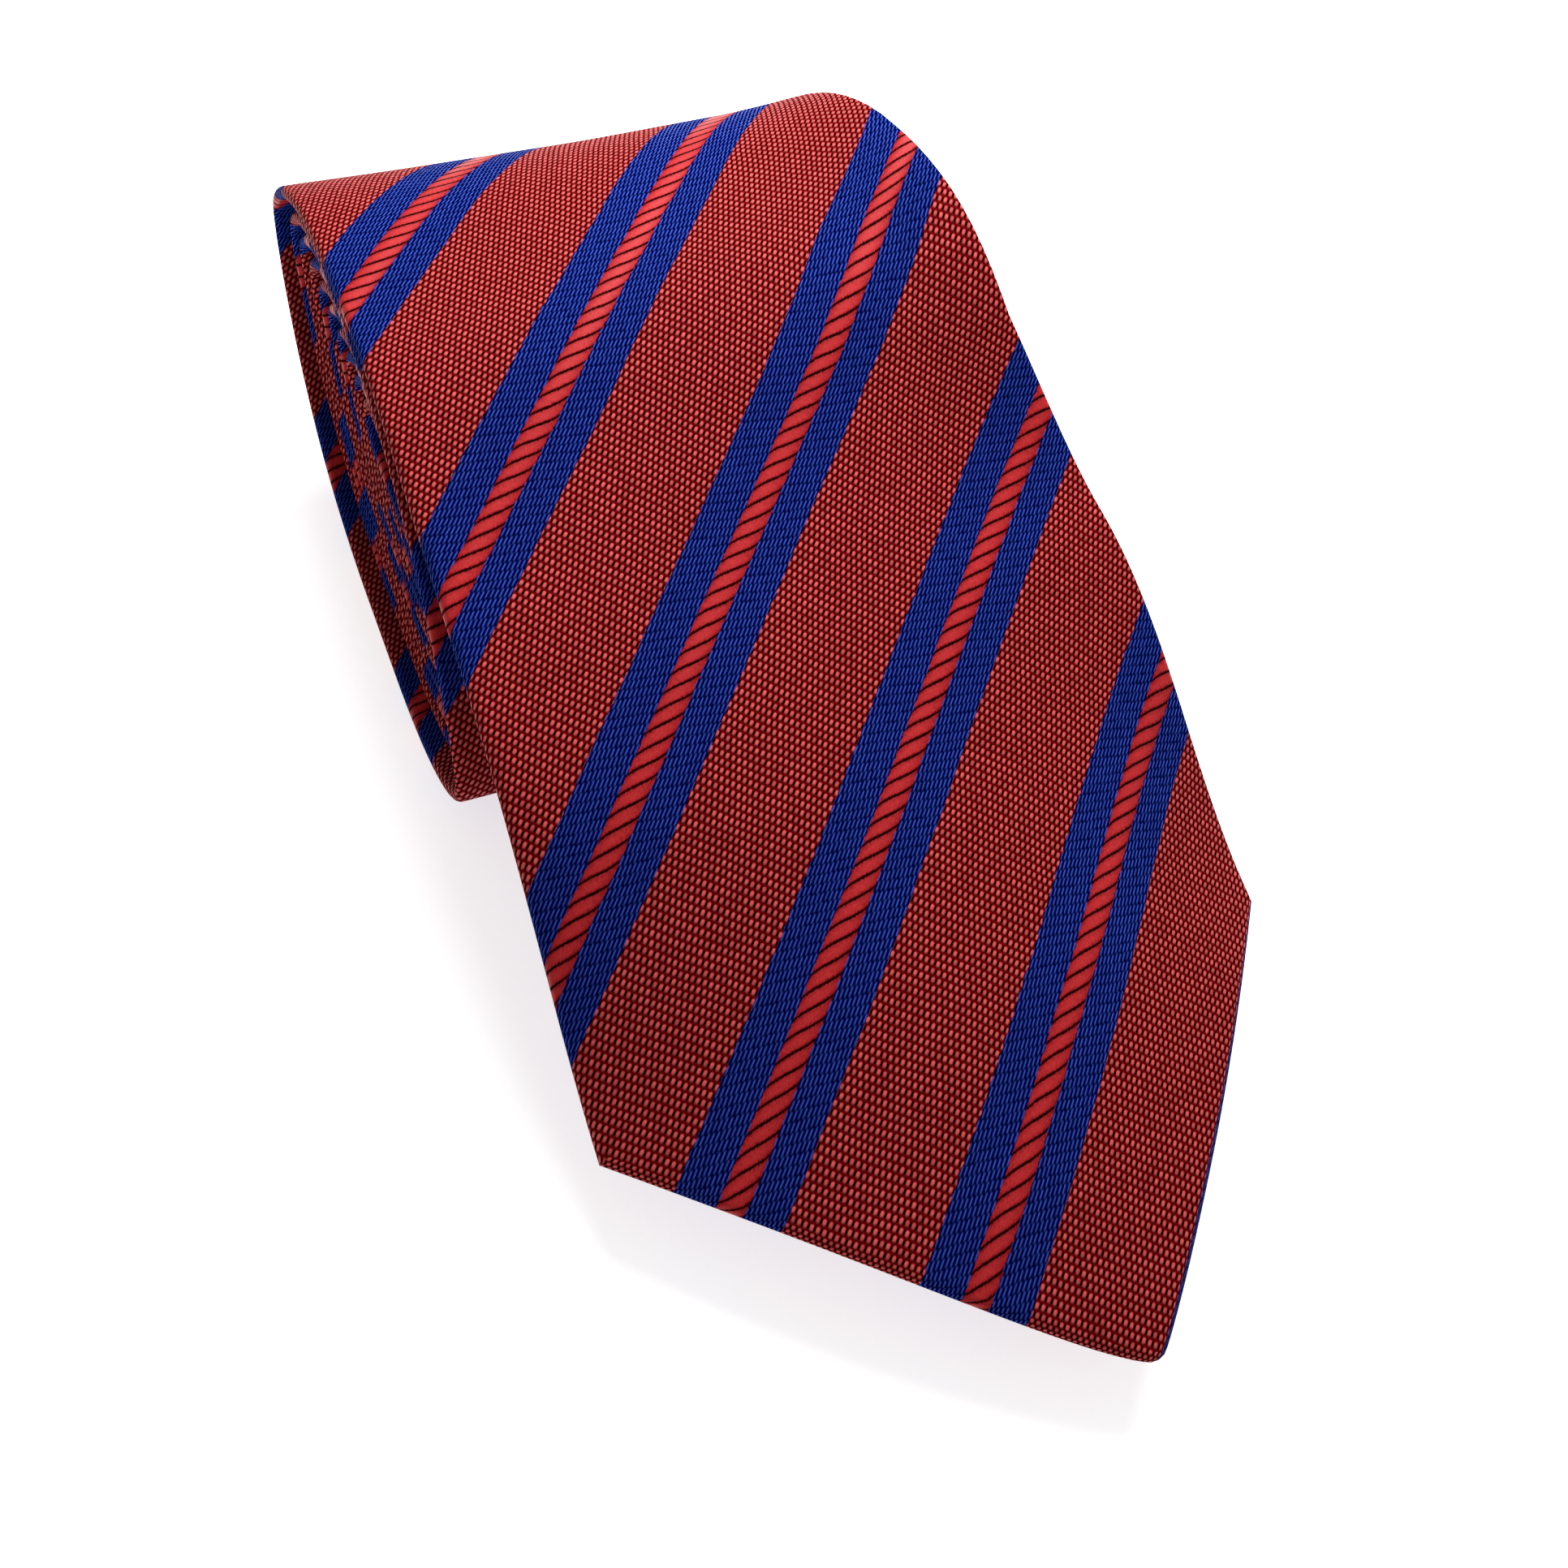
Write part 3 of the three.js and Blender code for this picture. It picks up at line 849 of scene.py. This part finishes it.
def tie_cloth(name):
    """The tie's own cloth: a red ground with a blue, cord and blue stripe at each repeat."""
    material, tree, shader = new_material(name, 0.5, 0.2)
    u, v = cloth_place(tree)
    slow = noise(tree, vector(tree, u, v), 0.11, 2.0)
    u = u + (slow - 0.5) * WANDER_ACROSS
    v = v + (noise(tree, vector(tree, u, v, 7.0), 0.09, 1.0) - 0.5) * WANDER_ALONG
    place_in = ((u - FIRST_STRIPE) / REPEAT).fract() * REPEAT
    jag = (noise(tree, vector(tree, u * 0.6, v * 1.5), 1.0, 1.0) - 0.5) * JAG
    place_in = place_in + jag * (place_in.rise(0.0, 0.4) * place_in.fall(REPEAT - 0.4, REPEAT))

    def beyond(edge):
        return place_in.rise(edge - EDGE_SOFTNESS, edge + EDGE_SOFTNESS)

    stripe = beyond(2 * EDGE_SOFTNESS) - beyond(STRIPE_END)
    cord = beyond(BLUE_END) - beyond(CORD_END)
    ground_colour, ground_height = ground_weave(tree, u, v)
    satin_colour, satin_height = satin_weave(tree, u, v)
    across = (place_in - BLUE_END) / (CORD_END - BLUE_END)
    cord_colour, cord_height = cord_weave(tree, u, v, across.most(0.0).least(1.0))
    colour = stripe.colours(ground_colour, satin_colour)
    colour = cord.colours(colour, cord_colour)
    height = stripe.mix(ground_height, satin_height)
    height = cord.mix(height, cord_height)
    tone = noise(tree, vector(tree, u, v, 3.0), 0.05, 3.0)
    tint = tree.nodes.new("ShaderNodeHueSaturation")
    tree.links.new(colour, tint.inputs["Color"])
    tree.links.new((tone * 0.24 + 0.88).socket, tint.inputs["Value"])
    roughness = stripe * -0.12 + 0.56
    tree.links.new((stripe - cord).colours(RED_GLOSS, BLUE_GLOSS), shader.inputs["Specular Tint"])
    gloss = (height - GLOSS_FROM_HEIGHT).most(0.0) * GLOSS
    tree.links.new(gloss.socket, shader.inputs["Specular IOR Level"])
    finish_surface(tree, shader, tint.outputs["Color"], height, RELIEF, roughness)
    return material


def interlining_cloth(name):
    """Brushed off-white interlining: a loose plain weave under short fibres."""
    material, tree, shader = new_material(name, 0.95, 0.15, sheen=0.2)
    u, v = cloth_place(tree)
    warp = (u / 0.9).wave() * 0.5 + 0.5
    weft = (v / 0.9).wave() * 0.5 + 0.5
    fuzz = noise(tree, vector(tree, u, v), 1.6, 4.0)
    grid = warp * weft * 0.6 + fuzz * 0.6
    colour = grid.least(1.0).colours(srgb(205, 198, 184), srgb(240, 236, 226))
    finish_surface(tree, shader, colour, grid, 0.2)
    return material


def satin_lining(name, back, float_sheen_colour):
    """A plain satin, for the tippings and the label, its floats painted lighter along their crowns as a sheen
    and darker between them as shade.
    """
    material, tree, shader = new_material(name, 0.42, 0.5, sheen=0.05)
    u, v = cloth_place(tree)
    thread_width, float_length, step = 0.16, 1.3, 0.55
    thread = (u / thread_width).floor()
    crown = ((u / thread_width).fract() * 2 - 1).square().less_from(1)
    along = ((v - thread * step) / float_length).fract() - 0.5
    shade = noise(tree, vector(tree, u, v), 0.5, 2.0) * 0.5 + 0.7
    # Painted sheen along each float's crown, painted shade between the floats.
    lit = along.magnitude().fall(0.2, 0.42) * (crown * 0.6 + 0.4) * shade
    finish_surface(tree, shader, lit.least(1.0).colours(back, float_sheen_colour), lit, 0.05)
    return material


def sewing_thread(name, dark, light):
    """Twisted sewing thread: u runs round it and v along it. Its twist is painted as lighter and darker
    bands: sheen on the plies and shade between them.
    """
    material, tree, shader = new_material(name, 0.55, 0.4, sheen=0.1)
    u, v = cloth_place(tree)
    twist = (u / 0.5 + v / 0.45).wave() * 0.5 + 0.5
    fuzz = noise(tree, vector(tree, u * 3, v * 3), 1.0, 2.0)
    # Painted sheen and shade in bands along the twist.
    lit = twist * 0.7 + fuzz * 0.3
    finish_surface(tree, shader, lit.colours(dark, light), lit, 0.05)
    return material


# ---- small pieces ----

def rounded_slab(name, x, p0, p1, middle_n, thickness, material):
    """A narrow folded strip lying across the tie: x gives its stations, and its long edges are round."""
    half = thickness / 2
    turn = np.linspace(0, math.pi, 7)
    across = np.linspace(0, 1, 9)[1:-1] * (p1 - p0 - thickness)
    loop_p = np.concatenate([p0 + half - half * np.sin(turn), p0 + half + across,
                             p1 - half + half * np.sin(turn), p1 - half - across])
    loop_n = np.concatenate([half * np.cos(turn), 0 * across - half, -half * np.cos(turn), 0 * across + half])
    size = len(loop_p)
    points, spots = [], []
    run = np.concatenate([[0], np.cumsum(np.hypot(np.diff(loop_p), np.diff(loop_n)))])
    for i, at in enumerate(x):
        points.append(place(at, loop_p, loop_n + middle_n[i]))
        spots.append(np.stack([0 * run + at, run], 1))
    points, spots = np.concatenate(points), np.concatenate(spots)
    faces = []
    for i in range(len(x) - 1):
        for j in range(size):
            a, b = i * size + j, i * size + (j + 1) % size
            faces.append((a, b, b + size, a + size))
    end = (len(x) - 1) * size
    faces.append(tuple(range(size))[::-1])
    faces.append(tuple(range(end, end + size)))
    return mesh_piece(name, points, faces, [[spots[i] for i in face] for face in faces], material)


def thread_runs(name, runs, radius, material, sides=6):
    """Stretches of sewing thread as round tubes with closed ends."""
    points, faces, spots = [], [], []
    turn = np.arange(sides) / sides * 2 * math.pi
    for run in runs:
        run = np.asarray(run)
        ahead = np.gradient(run, axis=0)
        ahead /= np.linalg.norm(ahead, axis=1)[:, None]
        aside = np.cross(ahead, (0.31, 0.23, 0.92))
        aside /= np.linalg.norm(aside, axis=1)[:, None]
        above = np.cross(ahead, aside)
        length = np.concatenate([[0], np.cumsum(np.linalg.norm(np.diff(run, axis=0), axis=1))]) / MM
        start = len(points)
        for i, centre in enumerate(run):
            for angle in turn:
                spoke = math.cos(angle) * aside[i] + math.sin(angle) * above[i]
                points.append(centre + radius * MM * spoke)
                spots.append((angle * radius, length[i]))
        for i in range(len(run) - 1):
            for j in range(sides):
                a = start + i * sides + j
                b = start + i * sides + (j + 1) % sides
                faces.append((a, b, b + sides, a + sides))
        end = start + (len(run) - 1) * sides
        faces.append(tuple(range(start, start + sides))[::-1])
        faces.append(tuple(range(end, end + sides)))
    return mesh_piece(name, np.array(points), faces, [[spots[i] for i in face] for face in faces], material)


def stitch(start, end, surface, rise, on_cloth=True):
    """One stitch over the back of the tie: it comes out of the cloth, lies on it and goes back in."""
    f = np.linspace(0, 1, 7)
    a = start[0] + f * (end[0] - start[0])
    b = start[1] + f * (end[1] - start[1])
    x, p = from_cloth(a, b) if on_cloth else (a, b)
    return place(x, p, surface - rise * np.sin(f * math.pi) ** STITCH_FULLNESS + STITCH_SUNK)


def bar_tack_runs(stitch_at, surface):
    """A bar of close stitches side by side, over two longer ones."""
    runs = []
    for k in range(TACK_STITCHES):
        at = (k + 0.5) / TACK_STITCHES * TACK_WIDTH - TACK_WIDTH / 2
        lean = TACK_LEAN * math.sin(k * TACK_LEAN_TURN)
        end = TACK_LENGTH + lean, at + TACK_SLANT
        runs.append(stitch_at((-lean * 0.5, at), end, surface, TACK_RISE))
    for share in TACK_CORES:
        along = TACK_LENGTH * share
        runs.append(stitch_at((along, -TACK_WIDTH / 2), (along, TACK_WIDTH / 2), surface, TACK_CORE_RISE))
    return runs


# ---- the assembly ----

STITCH_FULLNESS = 0.6
STITCH_SUNK = 0.12
TACK_STITCHES = 22
TACK_WIDTH = 9
TACK_LENGTH = 1.5
TACK_THREAD = 0.15
TACK_RISE = 0.34
TACK_SLANT = 0.2
TACK_LEAN = 0.12
TACK_LEAN_TURN = 2.1
TACK_CORES = (0.35, 0.7)
TACK_CORE_RISE = 0.2
SLIP_THREAD = 0.14
SLIP_SPACING = 3.5
SLIP_START = FLAP_MEETING + 4
SLIP_END = LAP_LENGTH - 6
SLIP_HALF_WIDTH = 0.6
SLIP_SLANT = 1.6
SLIP_RISE = 0.25
KEEPER_START = 196
KEEPER_END = 209
KEEPER_CENTRED_AT = 202
KEEPER_HALF_WIDTH = 26
KEEPER_THICKNESS = 0.5
KEEPER_GAP = 0.35
KEEPER_SLACK = 0.25
LABEL_START = 101
LABEL_HEIGHT = 14
LABEL_LEFT = -26
LABEL_WIDTH = 24
LABEL_THICKNESS = 0.18
LABEL_GAP = 0.08
LABEL_SLACK = 0.12
TAIL_TIPPING_START = TIE_LENGTH - 38
TAIL_TIPPING_END = TIE_LENGTH - 4
TAIL_TIPPING_INSET = 3
TAIL_TIPPING_GAP = 0.08
TAIL_TACK_AT = TIE_LENGTH - 41
TAIL_PANEL_END = TIE_LENGTH - 1
TAIL_INNER_END = TIE_LENGTH - 5
TIPPING_TOP = -0.5
TIPPING_INSET = 1.7
INNER_TOP = INTERLINING / 2
BLADE_INNER_INSET = 1.0
BLADE_INNER_DROP = 0.02
ROLLED_INNER_INSET = 1.1

# How far along its pattern each of these panels was cut, in millimetres of the cloth's s and t.
NECK_CLOTH_SHIFT = (9, 4)
TAIL_CLOTH_SHIFT = (21, 13)

CLOTH = tie_cloth("tie_cloth")
CLOTH_INTERLINING = interlining_cloth("interlining_cloth")
CLOTH_LINING = satin_lining("lining_satin", srgb(12, 20, 84), srgb(40, 62, 168))
CLOTH_LABEL = satin_lining("label_satin", srgb(14, 16, 34), srgb(46, 52, 84))
THREAD = sewing_thread("sewing_thread", srgb(96, 10, 18), srgb(176, 34, 42))

SEAM = SEAM_GAP / 2


def flat_size(start, end, fold=2, inset=0):
    """The width and length that a stretch of the tie is cut to, in metres, and its area."""
    p = np.linspace(start, end, 60)
    left, right = edges(p, inset)
    widths = np.minimum(2 * p, right - left) * fold * MM
    area = float(np.mean(widths)) * (end - start) * MM
    return (float(widths.max()), (end - start) * MM), area


def declare(piece, start, end, fold=2, inset=0, rests_on=()):
    """Works out how large a stretch of the tie's cloth was cut, and its area, and keeps neither."""
    size, area = flat_size(start, end, fold, inset)
    min(area, size[0] * size[1])


def finish_piece(piece, body, nodes, sheet=None, rests_on=()):
    """Puts a piece on its body and in its nodes' place. sheet is what declare() needs."""
    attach(piece, body)
    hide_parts(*nodes)
    if sheet:
        declare(piece, *sheet, rests_on=rests_on)


blade = thicken(front_blade("front_blade", CLOTH), SILK)
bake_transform(blade)
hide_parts("front_blade_lap")
declare(blade, 0, BACK_P, rests_on=["front_interlining"])

rolled = thicken(tube("front_blade_turns", BACK_P, FRONT_PANEL_END - SEAM, CLOTH), SILK)
finish_piece(rolled, "roll", ["front_blade_rolled"], (BACK_P, FRONT_PANEL_END),
             rests_on=["neck_panel"])
neck = thicken(tube("neck_panel", FRONT_PANEL_END + SEAM, NECK_PANEL_END - SEAM, CLOTH,
                     NECK_CLOTH_SHIFT), SILK)
finish_piece(neck, "roll", ["neck_band"], (FRONT_PANEL_END, NECK_PANEL_END), rests_on=["tail_panel"])
tail = thicken(tube("tail_panel", NECK_PANEL_END + SEAM, TAIL_PANEL_END, CLOTH, TAIL_CLOTH_SHIFT), SILK)
finish_piece(tail, "roll", ["tail_blade"], (NECK_PANEL_END, TIE_LENGTH),
             rests_on=["tail_interlining"])


def front_interlining():
    """The interlining of the front blade, over the ridge and down to the back of the roll."""
    columns = 20
    lap_x, lap_p = blade_grid(BLADE_INNER_INSET, LAP_LENGTH, rows=40, columns=columns)
    p = stations(LAP_LENGTH, BACK_P)[1:, None]
    left, right = edges(p, BLADE_INNER_INSET)
    x = left + np.linspace(0, 1, columns + 1)[None, :] * (right - left)
    x, p = np.concatenate([lap_x, x]), np.concatenate([lap_p, p + 0 * x])
    n = INNER_TOP - BLADE_INNER_DROP + ripple(x, p)
    return grid_piece("front_interlining", x, p, n, woven(*to_cloth(x, p)), CLOTH_INTERLINING)


lap_inner = thicken(front_interlining(), INTERLINING)
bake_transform(lap_inner)
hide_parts("interlining_lap")
declare(lap_inner, 0, BACK_P, 1)

front_inner = thicken(rolled_sheet("front_interlining_turns", BACK_P, INTERLINING_JOIN), INTERLINING)
finish_piece(front_inner, "roll", ["interlining_front"], (BACK_P, INTERLINING_JOIN, 1))
tail_inner = thicken(rolled_sheet("tail_interlining", INTERLINING_JOIN + SEAM_GAP, TAIL_INNER_END),
                     INTERLINING)
finish_piece(tail_inner, "roll", ["interlining_tail"], (INTERLINING_JOIN, TIE_LENGTH, 1))

tipping = thicken(tipping_sheet(), LINING)
finish_piece(tipping, "front_lap", ["front_tipping"], (0, FLAP_MEETING, 1),
             rests_on=["front_blade"])


def tail_lining():
    """The lining behind the tail's point."""
    p = stations(TAIL_TIPPING_START, TAIL_TIPPING_END)[:, None]
    left, right = edges(p, TAIL_TIPPING_INSET)
    x = left + np.linspace(0, 1, 13)[None, :] * (right - left)
    p = p + 0 * x
    n = -HALF_ROLL - TAIL_TIPPING_GAP + 0 * x
    return grid_piece("tail_tipping_satin", x, p, n, woven(*to_cloth(x, p)), CLOTH_LINING, flip=True)


tail_lined = thicken(tail_lining(), LINING, offset=1)
finish_piece(tail_lined, "roll", ["tail_tipping"],
             (TAIL_TIPPING_START, TAIL_TIPPING_END, 1, TAIL_TIPPING_INSET))


def keeper():
    """The loop across the back of the blade, standing off it most in the middle."""
    middle = float(left_edge(KEEPER_CENTRED_AT) + right_edge(KEEPER_CENTRED_AT)) / 2
    q = np.linspace(-1, 1, 25)
    stand_off = -HALF_ROLL - KEEPER_GAP - KEEPER_SLACK * (1 - q ** 4)
    return rounded_slab("keeper_strip", middle + q * KEEPER_HALF_WIDTH, KEEPER_START, KEEPER_END, stand_off,
                        KEEPER_THICKNESS, CLOTH)


finish_piece(keeper(), "roll", ["keeper_loop"])


def label():
    """The blank care label, which stands off the flap a little along its middle."""
    s, t = np.meshgrid(np.linspace(LABEL_START, LABEL_START + LABEL_HEIGHT, 13),
                       np.linspace(LABEL_LEFT, LABEL_LEFT + LABEL_WIDTH, 21), indexing="ij")
    x, p = from_cloth(s, t)
    n = bottom_height(p) - LABEL_GAP - LABEL_SLACK * np.sin((t - LABEL_LEFT) / LABEL_WIDTH * math.pi)
    return grid_piece("blank_label", x, p, n, np.stack([t, s], -1), CLOTH_LABEL, flip=True)


labelled = thicken(label(), LABEL_THICKNESS)
finish_piece(labelled, "front_lap", ["care_label"])


def lap_stitch(offset_s):
    """stitch(), moved along the cloth of the free blade."""
    def at(start, end, surface, rise):
        return stitch((start[0] + offset_s, start[1]), (end[0] + offset_s, end[1]), surface, rise)
    return at


tack = thread_runs("front_tack_thread",
                   bar_tack_runs(lap_stitch(FLAP_MEETING + 1), LAP_BOTTOM), TACK_THREAD, THREAD)
finish_piece(tack, "front_lap", ["front_bar_tack"])


def slip_runs():
    """The slanting stitches across the back seam."""
    runs = []
    for s in np.arange(SLIP_START, SLIP_END, SLIP_SPACING):
        surface = float(bottom_height(from_cloth(s, 0)[1]))
        runs.append(stitch((s, -SLIP_HALF_WIDTH), (s + SLIP_SLANT, SLIP_HALF_WIDTH), surface, SLIP_RISE))
    return runs


seam_thread = thread_runs("slip_stitch_thread", slip_runs(), SLIP_THREAD, THREAD)
finish_piece(seam_thread, "front_lap", ["slip_stitch"])


def tail_tack_stitch(start, end, surface, rise):
    """stitch(), moved to the tail's end and centred on the tie there."""
    p = TAIL_TACK_AT
    middle = float(left_edge(p) + right_edge(p)) / 2
    return stitch((middle + start[1], p + start[0]), (middle + end[1], p + end[0]), surface, rise, False)


tail_tack = thread_runs("tail_tack_thread", bar_tack_runs(tail_tack_stitch, -HALF_ROLL), TACK_THREAD, THREAD)
finish_piece(tail_tack, "roll", ["tail_bar_tack"])


# ---- floor, light and camera ----

CAMERA_AT = Vector((-0.0733, -0.1129, 0.1900))
CAMERA_FORWARD = Vector((0.3133, 0.4796, -0.8197))
CAMERA_UP = Vector((0.2473, 0.7922, 0.5580))
LENS = 40.17
SENSOR = 36
KEY_AT = (0.10, 0.19, 0.27)
KEY_AIM = (0, 0, 0.02)
KEY_SIZE = 0.28
KEY_POWER = 2.35
FLOOR_SIZE = 4
FLOOR_BELOW = 0.0002
FLOOR_GREY = 0.93
FLOOR_GLOW = 0.66
SKY_STRENGTH = 0.34


def floor():
    """The pale surface under the tie. It glows a little, so that the shadows on it stay soft."""
    bpy.ops.mesh.primitive_plane_add(size=FLOOR_SIZE, location=(0, 0, -FLOOR_BELOW))
    plane = bpy.context.object
    plane.name = "floor"
    material, tree, shader = new_material("pale_floor", 0.9, 0.1)
    shader.inputs["Base Color"].default_value = (FLOOR_GREY, FLOOR_GREY, FLOOR_GREY, 1)
    shader.inputs["Emission Color"].default_value = (1, 1, 1, 1)
    shader.inputs["Emission Strength"].default_value = FLOOR_GLOW
    plane.data.materials.append(material)


def area_light(name, place_at, aim, size, power):
    data = bpy.data.lights.new(name, "AREA")
    data.shape = "DISK"
    data.size = size
    data.energy = power
    light = bpy.data.objects.new(name, data)
    bpy.context.scene.collection.objects.link(light)
    light.location = place_at
    light.rotation_euler = (Vector(aim) - Vector(place_at)).to_track_quat("-Z", "Y").to_euler()


def camera():
    data = bpy.data.cameras.new("camera")
    data.lens = LENS
    data.sensor_width = SENSOR
    data.clip_start = 0.01
    cam = bpy.data.objects.new("camera", data)
    right = CAMERA_FORWARD.cross(CAMERA_UP).normalized()
    up = right.cross(CAMERA_FORWARD).normalized()
    turn = Matrix((right, up, -CAMERA_FORWARD.normalized())).transposed().to_4x4()
    cam.matrix_world = Matrix.Translation(CAMERA_AT) @ turn
    bpy.context.scene.collection.objects.link(cam)
    bpy.context.scene.camera = cam


def sky():
    """Even white light from everywhere."""
    world = bpy.data.worlds.new("studio")
    world.use_nodes = True
    background = world.node_tree.nodes["Background"]
    background.inputs["Color"].default_value = (1, 1, 1, 1)
    background.inputs["Strength"].default_value = SKY_STRENGTH
    bpy.context.scene.world = world


floor()
area_light("key", KEY_AT, KEY_AIM, KEY_SIZE, KEY_POWER)
sky()
bpy.context.scene.view_settings.view_transform = "Standard"
camera()
